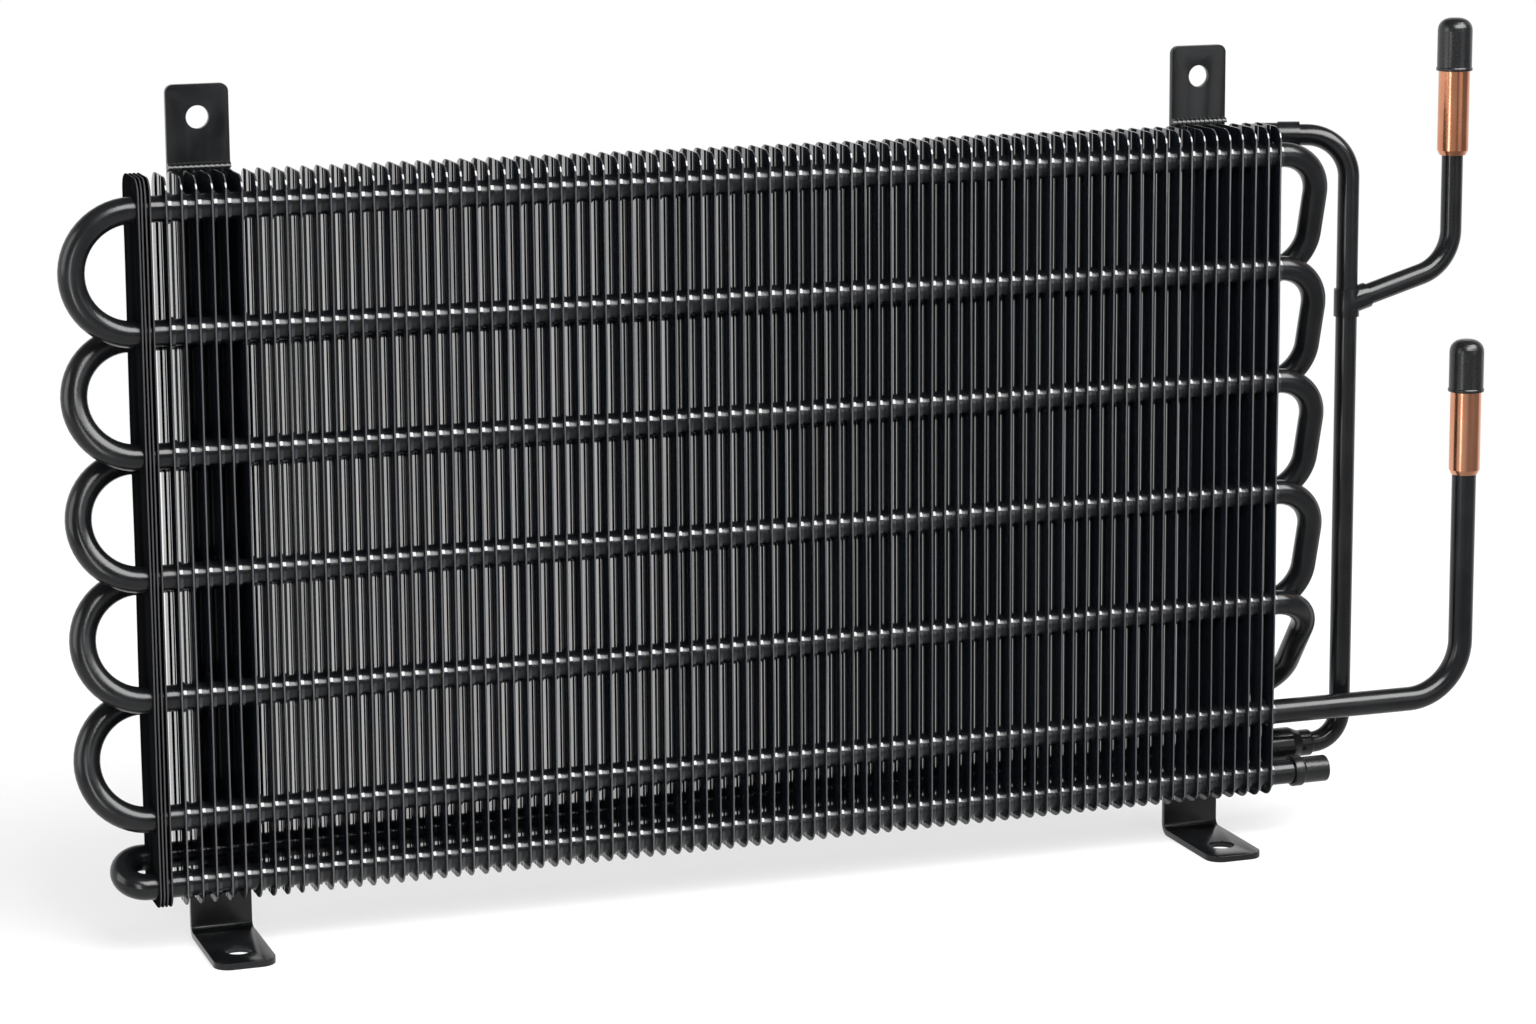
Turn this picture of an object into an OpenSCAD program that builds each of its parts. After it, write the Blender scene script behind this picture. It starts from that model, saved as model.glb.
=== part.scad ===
/* [Fin pack] */
// Number of collared fins on the tubes
fin_count = 82; // [40:1:90]
// Distance from one collared fin to the next
fin_pitch = 4.45; // [4:0.05:5]
// Thickness of one fin
fin_t = 0.5; // [0.4:0.05:0.8]
// Depth of a fin, front to back
fin_depth = 22.5; // [22:0.1:24]
// Height of a fin
fin_h = 221.3; // [219:0.1:224]
// Radius of a fin's corners
fin_corner_r = 5; // [1:0.5:5]
// Lower edge of the fins above the standing plane
fin_bottom_z = 16; // [14:0.5:18]
// Distance of the front row of tubes from the fins' front edge
front_inset = 5.5; // [5.2:0.1:6.2]
// Middle of the fin pack, beside the middle of the straps
pack_shift_x = 2.3; // [0:0.1:4]
// Height of the drawn collar round each tube hole
collar_h = 1.4; // [1:0.1:2.5]
// Wall of the collar
collar_wall = 0.5; // [0.3:0.05:0.8]
// Plain fins packed together at the left end
end_fin_count = 4; // [2:1:6]
// Distance from one plain fin to the next
end_fin_pitch = 1.2; // [1:0.1:2]
// Distance from the first collared fin to the nearest plain one
end_fin_gap = 5; // [4:0.1:6]

/* [Coil tube] */
// Outside diameter of the coil tube
tube_od = 8; // [7.4:0.1:8.4]
// Wall of the coil tube
tube_wall = 0.8; // [0.5:0.05:1]
// Distance of the top tube from the fins' upper edge
top_tube_drop = 9.5; // [8:0.5:11]
// Vertical distance between tubes of a row
tube_pitch = 36.9; // [36:0.1:37.5]
// Vertical distance from the sixth tube to the lowest one
last_pitch = 20.8; // [20:0.1:21]
// Front row, beside the line of the foot holes
front_row_y = 7; // [6:0.1:8]
// Distance between the two rows
row_spacing = 11.5; // [11:0.1:12]
// How far a back tube sits below its front neighbour
back_drop = 3; // [2:0.5:5]
// How far the lowest back tube sits above its front neighbour
low_back_rise = 6; // [4:0.5:7]
// Free play between a tube and what it passes through, on the radius
tube_play = 0.05; // [0.03:0.01:0.1]
// Straight stretch of a hairpin past the outermost plain fin
hairpin_lead = 0.7; // [0.5:0.1:3]
// Straight stretch of the lowest hairpin past the outermost plain fin
low_hairpin_lead = 2.3; // [1:0.1:4]
// Straight stretch of a tube past the last fin, up to its joint
joint_lead = 1.5; // [1.5:0.5:3]
// Straight stretch of a return bend past the joint
return_lead = 1; // [1:0.5:2]
// Bend radius at the two corners of a return bend
return_r = 14; // [13:0.5:16]
// Length of the joint where one tube end sits in another
lap_len = 5; // [3:0.5:7]

/* [Supply and outlet pipes] */
// Outside diameter of the riser and the inlet branch
riser_od = 7; // [6.6:0.1:7.2]
// Wall of the riser and the inlet branch
riser_wall = 0.8; // [0.5:0.05:1]
// Distance of the riser from the last fin
riser_lead = 32.7; // [30:0.1:36]
// Height of the riser's top run above the top tube
riser_rise = 4.1; // [2:0.1:5]
// Bend radius at the riser's top
riser_top_r = 14; // [12:0.5:15]
// Bend radius at the riser's foot
riser_foot_r = 10; // [9:0.5:11]
// Length of the top run, from the riser to the feed pipe
top_run_len = 42.5; // [42.5:0.25:45]
// Bend radius where the feed pipe turns upwards
feed_low_r = 8; // [7.5:0.5:9]
// Length of the coupling at the riser's foot
coupling_len = 17; // [15:0.5:18]
// Length of the wide end of the coupling
coupling_big_len = 11; // [10:0.5:13]
// Outside diameter of the wide end of the coupling
coupling_big_od = 11.5; // [10.5:0.1:12.5]
// Outside diameter of the narrow end of the coupling
coupling_small_od = 8.8; // [8.4:0.1:9.2]
// Gap between the last fin and the coupling
coupling_lead = 4.5; // [3:0.5:6]
// Distance of the tee below the riser's top run
tee_drop = 55.4; // [45:0.1:65]
// Rise of the inlet branch for each unit of its length
branch_rise = 0.28; // [0, 0.28]
// Bend radius of the inlet branch
branch_r = 15; // [12.5, 15]
// Distance of the inlet's upright stretch from the riser
inlet_reach = 38; // [34:0.5:42]
// Height of the inlet stub's lower end above the tee
inlet_rise = 47.2; // [44:0.1:52]
// Distance of the outlet's upright stretch from the last fin
outlet_lead = 71.4; // [66:0.2:76]
// Bend radius of the outlet pipe
outlet_r = 19; // [16:0.5:22]
// Height of the outlet stub's lower end above the sixth tube
outlet_rise = 75.2; // [68:0.1:82]

/* [Connection stubs] */
// Outside diameter of a copper stub
stub_od = 10.2; // [9.8:0.1:10.6]
// Wall of a copper stub
stub_wall = 0.9; // [0.6:0.05:1]
// Length of a copper stub
stub_len = 38; // [34:0.5:42]
// Length of copper that shows below a cap
stub_shown = 27.8; // [26:0.2:30]
// Wall of a cap
cap_wall = 0.6; // [0.5:0.05:0.8]
// Height of a cap
cap_h = 17.4; // [15:0.2:20]
// Outside diameter of the plug on the spare end
plug_od = 9.4; // [9.2:0.1:10]
// Length of the plug on the spare end
plug_len = 12.6; // [11:0.2:14]
// Gap between the last fin and the plug
plug_lead = 9.2; // [7:0.1:11]

/* [Mounting straps] */
// Distance between the middles of the straps
strap_spacing = 327.4; // [320:0.2:330]
// Width of a strap
strap_w = 19; // [17:0.5:20]
// Thickness of a strap
strap_t = 2; // [1.5:0.1:2]
// Height of the upper tab above the fins
tab_rise = 25.1; // [20:0.1:28]
// Distance of the tab hole from the tab's top
tab_hole_drop = 9.9; // [8:0.1:12]
// Diameter of the tab hole
tab_hole_d = 7; // [6:0.1:8]
// Reach of a foot in front of its hole
foot_reach = 13; // [10:0.1:15]
// Diameter of the foot hole
foot_hole_d = 8.5; // [7:0.1:9]
// Inside radius of the fold above the foot
fold_r = 2; // [1.5:0.1:3]
// Corner radius of a tab
tab_corner_r = 2.5; // [1:0.1:4]
// Corner radius of a foot
foot_corner_r = 5; // [1:0.1:6]
// Leg of the weld bead at a tab's foot
weld_leg = 1.8; // [1:0.1:2.2]
// How far the bead dips between two drops
weld_dip = 0.3; // [0.1:0.1:0.5]
// Drops in one weld bead
weld_drops = 12; // [8:1:14]

/* [Hidden] */
$fn = 48;
// Lengths worked out from others are kept to a hundredth, so that joined stretches meet
function mm(length) = round(length * 100) / 100;

black_paint = "#1b1c1e";
bare_copper = "#b97a55";
cap_black = "#0f0f10";

// Fin pack
pack_len = (fin_count - 1) * fin_pitch + fin_t;
first_fin_x = pack_shift_x - pack_len / 2;
last_face_x = pack_shift_x + pack_len / 2;
nearest_end_x = first_fin_x - end_fin_gap;
outer_end_x = nearest_end_x - (end_fin_count - 1) * end_fin_pitch;
fin_front_y = front_row_y - front_inset;
fin_back_y = fin_front_y + fin_depth;
fin_top_z = fin_bottom_z + fin_h;
hole_d = tube_od + 2 * tube_play;

// Coil tube
tube_id = tube_od - 2 * tube_wall;
top_tube_z = fin_top_z - top_tube_drop;
back_row_y = front_row_y + row_spacing;
hairpin_x = outer_end_x - hairpin_lead;
low_hairpin_x = outer_end_x - low_hairpin_lead;
joint_x = last_face_x + joint_lead;
spigot_od = tube_id - 2 * tube_play;
spigot_id = spigot_od - 1.2;

// Tube places as [y, z], counted from the top
function front_z(n) = top_tube_z - (min(n, 6) - 1) * tube_pitch - (n == 7 ? last_pitch : 0);
function back_z(n) = front_z(n) + (n == 7 ? low_back_rise : -back_drop);
function front_tube(n) = [front_row_y, front_z(n)];
function back_tube(n) = [back_row_y, back_z(n)];
front_numbers = [1, 2, 3, 4, 5, 6, 7];
back_numbers = [2, 3, 4, 5, 7];
tube_places = concat(
    [for (n = front_numbers) front_tube(n)],
    [for (n = back_numbers) back_tube(n)]
);

// Riser and its neighbours
riser_id = riser_od - 2 * riser_wall;
riser_x = last_face_x + riser_lead;
riser_y = back_row_y;
riser_top_z = top_tube_z + riser_rise;
coupling_x = last_face_x + coupling_lead;
coupling_hold = 9;
coupling_floor = 3;
coupling_stop_x = coupling_x + coupling_hold;
riser_end_x = coupling_stop_x + coupling_floor;
top_run_turn = -asin(0.352);
feed_x = mm(riser_x - top_run_len * cos(top_run_turn));
feed_y = mm(riser_y - top_run_len * sin(top_run_turn));
feed_lean = asin(0.6);
feed_span = mm((feed_y - front_row_y) / sin(feed_lean));
feed_low_z = front_z(5) - feed_span * cos(feed_lean);
feed_low_run = joint_x + return_lead - feed_x - feed_low_r;
feed_run_len = 5;
socket_len = 7;
socket_floor = 1;
socket_od = 8.8;

// Tee and branch
tee_h = 9;
tee_od = 8.4;
tee_neck_len = 7.5;
tee_z = riser_top_z - tee_drop;
inlet_x = riser_x + inlet_reach;
inlet_stub_z = tee_z + inlet_rise;
branch_slope = asin(branch_rise);
branch_clear = 0.3;
port_d = riser_id - 2 * branch_clear;
branch_start = mm(riser_od / 2 * (1 + branch_rise) / cos(branch_slope)) + branch_clear;
branch_run = mm((inlet_reach - branch_r * (1 - branch_rise)) / cos(branch_slope));
branch_top_z = mm(tee_z + branch_run * branch_rise + branch_r * cos(branch_slope));

// Stubs
outlet_x = last_face_x + outlet_lead;
outlet_stub_z = front_z(6) + outlet_rise;
stub_id = stub_od - 2 * stub_wall;
neck_len = 8;
stub_chamfer = 0.8;
cap_od = stub_od + 2 * cap_wall;
plug_x = last_face_x + plug_lead;
plug_roof = 2;

// Straps
strap_front_y = fin_back_y;
strap_back_y = strap_front_y + strap_t;
tab_top_z = fin_top_z + tab_rise;
tab_hole_z = tab_top_z - tab_hole_drop;

// Section of a pipe, as a flat ring
module ring(od, id) {
    difference() {
        circle(d = od);
        circle(d = id);
    }
}

// A bend that leaves the origin along +Z and turns towards +X
module bend(r, angle, od, id) {
    translate([r, 0, 0])
        rotate([90, 0, 180])
            rotate_extrude(angle = angle)
                translate([r, 0])
                    ring(od, id);
}

// A pipe that leaves the origin along +Z, with its children at the far end.
// A step is [length] or [radius, angle, roll].
module pipe_route(steps, od, id, i = 0) {
    if (i < len(steps)) {
        step = steps[i];
        if (len(step) == 1) {
            linear_extrude(step[0])
                ring(od, id);
            translate([0, 0, step[0]])
                pipe_route(steps, od, id, i + 1)
                    children();
        } else {
            rotate([0, 0, step[2]]) {
                bend(step[0], step[1], od, id);
                translate([step[0] * (1 - cos(step[1])), 0, step[0] * sin(step[1])])
                    rotate([0, step[1], 0])
                        pipe_route(steps, od, id, i + 1)
                            children();
            }
        }
    } else {
        children();
    }
}

// Turns +Z towards -X, with +X along the line from one tube to another
module heading_left(from, to) {
    rotate([atan2(from[0] - to[0], to[1] - from[1]), 0, 0])
        rotate([0, -90, 0])
            children();
}

// Turns +Z towards +X, with +X along the line from one tube to another
module heading_right(from, to) {
    rotate([atan2(to[0] - from[0], from[1] - to[1]), 0, 0])
        rotate([0, 90, 0])
            children();
}

// Two long legs and the round turn that joins them at the left
module hairpin(from, to, turn_x, from_end_x, to_end_x) {
    color(black_paint)
        translate([from_end_x, from[0], from[1]])
            heading_left(from, to)
                pipe_route(
                    [[from_end_x - turn_x], [mm(norm(to - from) / 2), 180, 0], [to_end_x - turn_x]],
                    tube_od,
                    tube_id
                );
}

module coil_hairpin(n) {
    from = n == 1 ? front_tube(1) : back_tube(n);
    hairpin(from, front_tube(n + 1), hairpin_x, joint_x, joint_x);
}

module low_hairpin() {
    hairpin(
        back_tube(7),
        front_tube(7),
        low_hairpin_x,
        coupling_stop_x - tube_play,
        plug_x + plug_len - plug_roof - tube_play
    );
}

// Thin end that leaves a tube along +Z and sits inside the next one
module spigot() {
    shoulder = 0.6;
    rotate_extrude()
        polygon([
            [spigot_id / 2, -shoulder],
            [tube_id / 2, -shoulder],
            [tube_id / 2, 0],
            [spigot_od / 2, 0],
            [spigot_od / 2, lap_len],
            [spigot_id / 2, lap_len]
        ]);
}

// The two corners and the slanting stretch that take a tube end round to another
function return_steps(span) = [
    [return_lead],
    [return_r, 90, 0],
    [span - 2 * return_r],
    [return_r, 90, 0]
];

module return_bend(n) {
    from = front_tube(n);
    to = back_tube(n + 1);
    color(black_paint)
        translate([joint_x, from[0], from[1]])
            heading_right(from, to) {
                mirror([0, 0, 1])
                    spigot();
                pipe_route(concat(return_steps(mm(norm(to - from))), [[return_lead]]), tube_od, tube_id)
                    spigot();
            }
}

// Flat outline of a fin, lying in XY with the fin's height along +Y
module fin_outline() {
    translate([fin_corner_r, 0])
        square([fin_depth - 2 * fin_corner_r, fin_h]);
    translate([0, fin_corner_r])
        square([fin_depth, fin_h - 2 * fin_corner_r]);
    for (x = [fin_corner_r, fin_depth - fin_corner_r])
        for (y = [fin_corner_r, fin_h - fin_corner_r])
            translate([x, y])
                circle(r = fin_corner_r);
}

// Children at every tube hole of a fin that lies in XY
module at_fin_holes() {
    for (place = tube_places)
        translate([place[0] - fin_front_y, place[1] - fin_bottom_z])
            children();
}

module plain_fin() {
    linear_extrude(fin_t)
        difference() {
            fin_outline();
            at_fin_holes()
                circle(d = hole_d);
        }
}

module collared_fin() {
    plain_fin();
    translate([0, 0, fin_t])
        linear_extrude(collar_h)
            at_fin_holes()
                ring(hole_d + 2 * collar_wall, hole_d);
}

// Children upright across the tubes, with their left face at x
module on_tubes(x) {
    translate([x, fin_front_y, fin_bottom_z])
        rotate([90, 0, 90])
            children();
}

module fin_pack() {
    color(black_paint) {
        for (i = [0 : fin_count - 1])
            on_tubes(first_fin_x + i * fin_pitch)
                collared_fin();
        for (i = [0 : end_fin_count - 1])
            on_tubes(nearest_end_x - i * end_fin_pitch)
                plain_fin();
    }
}

// Widened end that leaves a tube along +Z and takes the riser's end
module socket() {
    linear_extrude(socket_floor)
        ring(socket_od, tube_id);
    translate([0, 0, socket_floor])
        linear_extrude(socket_len - socket_floor)
            ring(socket_od, riser_od + 2 * tube_play);
}

module feed_pipe() {
    from = front_tube(5);
    to = [feed_y, feed_low_z];
    climb = [
        [feed_low_run],
        [feed_low_r, 90, feed_lean],
        [mm(riser_top_z - feed_low_z - feed_low_r - riser_top_r)],
        [riser_top_r, 90, top_run_turn],
        [feed_run_len]
    ];
    color(black_paint)
        translate([joint_x, from[0], from[1]])
            heading_right(from, to) {
                mirror([0, 0, 1])
                    spigot();
                pipe_route(concat(return_steps(feed_span), climb), tube_od, tube_id)
                    socket();
            }
}

// Centre line of the riser from its top run down to the coupling
module riser_route(od, id) {
    start = riser_top_r + feed_run_len + socket_floor + tube_play;
    translate([feed_x, feed_y, riser_top_z])
        rotate([0, 90, top_run_turn])
            translate([0, 0, start])
                pipe_route(
                    [
                        [top_run_len - start - riser_top_r],
                        [riser_top_r, 90, 0],
                        [mm(riser_top_z - riser_top_r - back_z(7) - riser_foot_r)],
                        [riser_foot_r, 90, top_run_turn],
                        [riser_x - riser_foot_r - riser_end_x]
                    ],
                    od,
                    id
                );
}

// Straight line of the branch where it leaves the riser
module along_branch() {
    translate([riser_x, riser_y, tee_z])
        rotate([0, 90 - branch_slope, 0])
            children();
}

module riser_pipe() {
    color(black_paint)
        difference() {
            riser_route(riser_od, riser_id);
            along_branch()
                cylinder(d = port_d, h = riser_od);
        }
}

module riser_coupling() {
    stop = coupling_stop_x - coupling_x;
    color(black_paint)
        translate([coupling_x, back_row_y, back_z(7)])
            rotate([0, 90, 0])
                difference() {
                    union() {
                        cylinder(d = coupling_big_od, h = coupling_big_len);
                        cylinder(d = coupling_small_od, h = coupling_len);
                    }
                    translate([0, 0, -1])
                        cylinder(d = tube_od + 2 * tube_play, h = stop + 1);
                    cylinder(d = riser_id, h = coupling_len);
                    translate([0, 0, riser_end_x - coupling_x - tube_play])
                        cylinder(d = riser_od + 2 * tube_play, h = coupling_len);
                }
}

module tee_piece() {
    color(black_paint)
        difference() {
            union() {
                translate([riser_x, riser_y, tee_z - tee_h / 2])
                    cylinder(d = tee_od, h = tee_h);
                along_branch()
                    cylinder(d = tee_od, h = tee_neck_len);
            }
            translate([riser_x, riser_y, tee_z - tee_h])
                cylinder(d = riser_od + 2 * tube_play, h = 2 * tee_h);
            along_branch()
                cylinder(d = riser_id, h = tee_neck_len);
            along_branch()
                translate([0, 0, branch_start - tube_play])
                    cylinder(d = riser_od + 2 * tube_play, h = tee_neck_len);
        }
}

module inlet_branch() {
    color(black_paint)
        along_branch()
            translate([0, 0, branch_start])
                pipe_route(
                    [
                        [branch_run - branch_start],
                        [branch_r, 90 - branch_slope, 180],
                        [inlet_stub_z + neck_len - branch_top_z]
                    ],
                    riser_od,
                    riser_id
                );
}

// A copper stub that stands on +Z, with a narrow neck for the pipe below
module copper_stub(pipe_od) {
    pipe_r = pipe_od / 2 + tube_play;
    color(bare_copper)
        rotate_extrude()
            polygon([
                [pipe_r, 0],
                [stub_od / 2 - stub_chamfer, 0],
                [stub_od / 2, 2 * stub_chamfer],
                [stub_od / 2, stub_len],
                [stub_id / 2, stub_len],
                [stub_id / 2, neck_len + stub_wall],
                [pipe_od / 2 - tube_wall, neck_len + stub_wall],
                [pipe_od / 2 - tube_wall, neck_len + tube_play],
                [pipe_r, neck_len + tube_play]
            ]);
}

// A push-on cap that stands on +Z, with a domed roof
module stub_cap() {
    roof_r = 4;
    color(cap_black)
        difference() {
            rotate_extrude() {
                square([cap_od / 2, cap_h - roof_r]);
                square([cap_od / 2 - roof_r, cap_h]);
                intersection() {
                    translate([cap_od / 2 - roof_r, cap_h - roof_r])
                        circle(r = roof_r);
                    square([cap_od / 2, cap_h]);
                }
            }
            translate([0, 0, -1])
                cylinder(d = stub_od + 2 * tube_play, h = stub_len - stub_shown + 1 + tube_play);
        }
}

module inlet_stub() {
    translate([inlet_x, riser_y, inlet_stub_z])
        copper_stub(riser_od);
}

module inlet_cap() {
    translate([inlet_x, riser_y, inlet_stub_z + stub_shown])
        stub_cap();
}

module outlet_pipe() {
    from = front_tube(6);
    color(black_paint)
        translate([joint_x, from[0], from[1]])
            rotate([0, 90, 0]) {
                mirror([0, 0, 1])
                    spigot();
                pipe_route(
                    [
                        [outlet_x - outlet_r - joint_x],
                        [outlet_r, 90, 180],
                        [outlet_stub_z + neck_len - from[1] - outlet_r]
                    ],
                    tube_od,
                    tube_id
                );
            }
}

module outlet_stub() {
    translate([outlet_x, front_row_y, outlet_stub_z])
        copper_stub(tube_od);
}

module outlet_cap() {
    translate([outlet_x, front_row_y, outlet_stub_z + stub_shown])
        stub_cap();
}

module spare_end_plug() {
    place = front_tube(7);
    color(cap_black)
        translate([plug_x, place[0], place[1]])
            rotate([0, 90, 0])
                difference() {
                    union() {
                        cylinder(d = plug_od, h = plug_len - 1);
                        translate([0, 0, plug_len - 1])
                            cylinder(d1 = plug_od, d2 = plug_od - 2, h = 1);
                    }
                    translate([0, 0, -1])
                        cylinder(d = tube_od + 2 * tube_play, h = plug_len - plug_roof + 1);
                }
}

// A strip with two rounded corners at its far end, lying in XY along +Y
module strip(length, corner_r) {
    translate([-strap_w / 2, 0])
        square([strap_w, length - corner_r]);
    translate([-strap_w / 2 + corner_r, 0])
        square([strap_w - 2 * corner_r, length]);
    for (side = [-1, 1])
        translate([side * (strap_w / 2 - corner_r), length - corner_r])
            circle(r = corner_r);
}

// A folded strap: foot in front, tall strip behind the fins, tab on top
module strap(x) {
    fold_out_r = fold_r + strap_t;
    fold_y = strap_back_y - fold_out_r;
    color(black_paint)
        translate([x, 0, 0]) {
            translate([0, fold_y, 0])
                linear_extrude(strap_t)
                    difference() {
                        mirror([0, 1])
                            strip(fold_y + foot_reach, foot_corner_r);
                        translate([0, -fold_y])
                            circle(d = foot_hole_d);
                    }
            translate([-strap_w / 2, fold_y, fold_out_r])
                rotate([0, 90, 0])
                    rotate_extrude(angle = 90)
                        translate([fold_r, 0])
                            square([strap_t, strap_w]);
            translate([0, strap_back_y, fold_out_r])
                rotate([90, 0, 0])
                    linear_extrude(strap_t)
                        difference() {
                            strip(tab_top_z - fold_out_r, tab_corner_r);
                            translate([0, tab_hole_z - fold_out_r])
                                circle(d = tab_hole_d);
                        }
        }
}

module left_strap() {
    strap(-strap_spacing / 2);
}

module right_strap() {
    strap(strap_spacing / 2);
}

// Section of a weld bead in the corner between a tab and the fins
module weld_section(leg) {
    intersection() {
        circle(r = leg);
        translate([-leg, 0])
            square(leg);
    }
}

// A row of weld drops along the foot of a tab, on the fins' top edges
module weld_bead(x) {
    step = strap_w / weld_drops;
    color(black_paint)
        translate([x - strap_w / 2, strap_front_y, fin_top_z])
            rotate([90, 0, 90]) {
                linear_extrude(strap_w)
                    weld_section(weld_leg - weld_dip);
                for (i = [0 : weld_drops - 1])
                    translate([0, 0, i * step])
                        linear_extrude(step / 2)
                            weld_section(weld_leg);
            }
}

module left_weld_bead() {
    weld_bead(-strap_spacing / 2);
}

module right_weld_bead() {
    weld_bead(strap_spacing / 2);
}

fin_pack();
coil_hairpin(1);  // hairpin_1
coil_hairpin(2);  // hairpin_2
coil_hairpin(3);  // hairpin_3
coil_hairpin(4);  // hairpin_4
coil_hairpin(5);  // hairpin_5
low_hairpin();
return_bend(1);  // return_bend_1
return_bend(2);  // return_bend_2
return_bend(3);  // return_bend_3
return_bend(4);  // return_bend_4
feed_pipe();
riser_pipe();
riser_coupling();
tee_piece();
inlet_branch();
inlet_stub();
inlet_cap();
outlet_pipe();
outlet_stub();
outlet_cap();
spare_end_plug();
left_strap();
right_strap();
left_weld_bead();
right_weld_bead();
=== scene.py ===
"""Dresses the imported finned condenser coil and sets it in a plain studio."""

from __future__ import annotations

import logging
import math
import random
from dataclasses import dataclass, field
from enum import Enum
from typing import Sequence, Union

import bmesh
import bpy
from mathutils import Matrix, Vector

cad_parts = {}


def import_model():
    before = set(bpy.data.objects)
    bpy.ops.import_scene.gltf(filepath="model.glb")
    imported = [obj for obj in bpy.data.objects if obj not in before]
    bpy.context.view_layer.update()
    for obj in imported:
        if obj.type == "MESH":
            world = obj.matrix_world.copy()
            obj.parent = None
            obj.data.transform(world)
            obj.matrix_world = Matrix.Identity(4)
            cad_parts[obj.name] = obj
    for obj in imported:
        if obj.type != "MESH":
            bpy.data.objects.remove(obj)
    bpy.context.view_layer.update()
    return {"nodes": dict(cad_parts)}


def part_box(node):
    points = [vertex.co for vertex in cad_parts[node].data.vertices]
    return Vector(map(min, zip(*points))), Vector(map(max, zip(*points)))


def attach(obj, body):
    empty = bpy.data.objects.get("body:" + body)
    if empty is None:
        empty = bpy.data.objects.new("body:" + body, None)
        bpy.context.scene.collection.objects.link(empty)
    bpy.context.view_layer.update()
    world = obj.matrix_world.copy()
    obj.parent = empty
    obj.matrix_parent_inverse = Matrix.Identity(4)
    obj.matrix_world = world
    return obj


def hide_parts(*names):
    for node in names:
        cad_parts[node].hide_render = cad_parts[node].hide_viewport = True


LOG = logging.getLogger("condenser_coil")
MM = 0.001
BODY = "root"

# Names of the marks that the fins' vertices carry
RIM = "rim"
PRESSED = "pressed"

# Vertices closer than this, in metres, are one
SAME_POINT = 1e-6
SAME_POLE = 1e-7

Pair = tuple[float, float]
Point = tuple[float, float, float]
Colour = tuple[float, float, float]
Source = Union[bpy.types.NodeSocket, float]
Edges = list[bmesh.types.BMEdge]
Ring = list[bmesh.types.BMVert]

UNIT: Pair = (0.0, 1.0)


class Slot(Enum):
    """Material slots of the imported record."""

    PAINT = "black_paint"
    FINS = "fin_paint"
    COPPER = "bare_copper"
    CAP = "cap_plastic"


class Axis(Enum):
    """The row axis that a turned piece stands on."""

    X = (1.0, 0.0, 0.0)
    Y = (0.0, 1.0, 0.0)
    Z = (0.0, 0.0, 1.0)


class Ray(Enum):
    """Kinds of ray that the floor and the background tell apart."""

    CAMERA = "Is Camera Ray"
    GLOSSY = "Is Glossy Ray"
    TRANSMISSION = "Is Transmission Ray"


class NodeSheet:
    """Lays out the nodes of one node tree."""

    def __init__(self, tree: bpy.types.NodeTree) -> None:
        """Clears the tree.

        Args:
            tree: Node tree of a material or the world.
        """
        self.tree = tree
        self.tree.nodes.clear()

    def add(self, kind: str, **settings: object) -> bpy.types.Node:
        """Adds one node.

        Args:
            kind: Blender's name for the node type.
            **settings: Properties to set on the node.

        Returns:
            The new node.
        """
        node = self.tree.nodes.new(kind)
        for name, value in settings.items():
            setattr(node, name, value)
        return node

    def feed(self, node: bpy.types.Node, socket: str | int, source: Source) -> None:
        """Links a socket to another node's output, or sets its value.

        Args:
            node: Node that owns the input.
            socket: Name or number of the input.
            source: Output socket or plain value.
        """
        target = node.inputs[socket]
        if isinstance(source, bpy.types.NodeSocket):
            self.tree.links.new(source, target)
        else:
            target.default_value = source

    def combine(self, operation: str, first: Source, second: Source) -> bpy.types.NodeSocket:
        """Works out one value from two.

        Args:
            operation: Blender's name for the operation.
            first: First socket or value.
            second: Second socket or value.

        Returns:
            The result.
        """
        node = self.add("ShaderNodeMath", operation=operation)
        self.feed(node, 0, first)
        self.feed(node, 1, second)
        return node.outputs[0]

    def remap(
        self, value: Source, span: Pair, target: tuple[Source, Source], smooth: bool = False
    ) -> bpy.types.NodeSocket:
        """Maps a span of a value onto another span.

        Args:
            value: Value to map.
            span: Low and high end of the value.
            target: Results at the low and the high end.
            smooth: Whether the result eases in and out.

        Returns:
            The mapped value.
        """
        node = self.add("ShaderNodeMapRange", interpolation_type="SMOOTHSTEP" if smooth else "LINEAR")
        self.feed(node, "Value", value)
        self.feed(node, "From Min", span[0])
        self.feed(node, "From Max", span[1])
        self.feed(node, "To Min", target[0])
        self.feed(node, "To Max", target[1])
        return node.outputs["Result"]

    def blend(
        self, share: Source, first: bpy.types.NodeSocket, second: bpy.types.NodeSocket
    ) -> bpy.types.NodeSocket:
        """Mixes two shaders.

        Args:
            share: Share of the second shader.
            first: First shader.
            second: Second shader.

        Returns:
            The mixed shader.
        """
        node = self.add("ShaderNodeMixShader")
        self.feed(node, 0, share)
        self.feed(node, 1, first)
        self.feed(node, 2, second)
        return node.outputs[0]

    def rays(self, *kinds: Ray) -> bpy.types.NodeSocket:
        """Tells rays of some kinds from all the others.

        Args:
            *kinds: Kinds of ray.

        Returns:
            1 for rays of these kinds, otherwise 0.
        """
        path = self.add("ShaderNodeLightPath")
        told = path.outputs[kinds[0].value]
        for kind in kinds[1:]:
            told = self.combine("MAXIMUM", told, path.outputs[kind.value])
        return told


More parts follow.
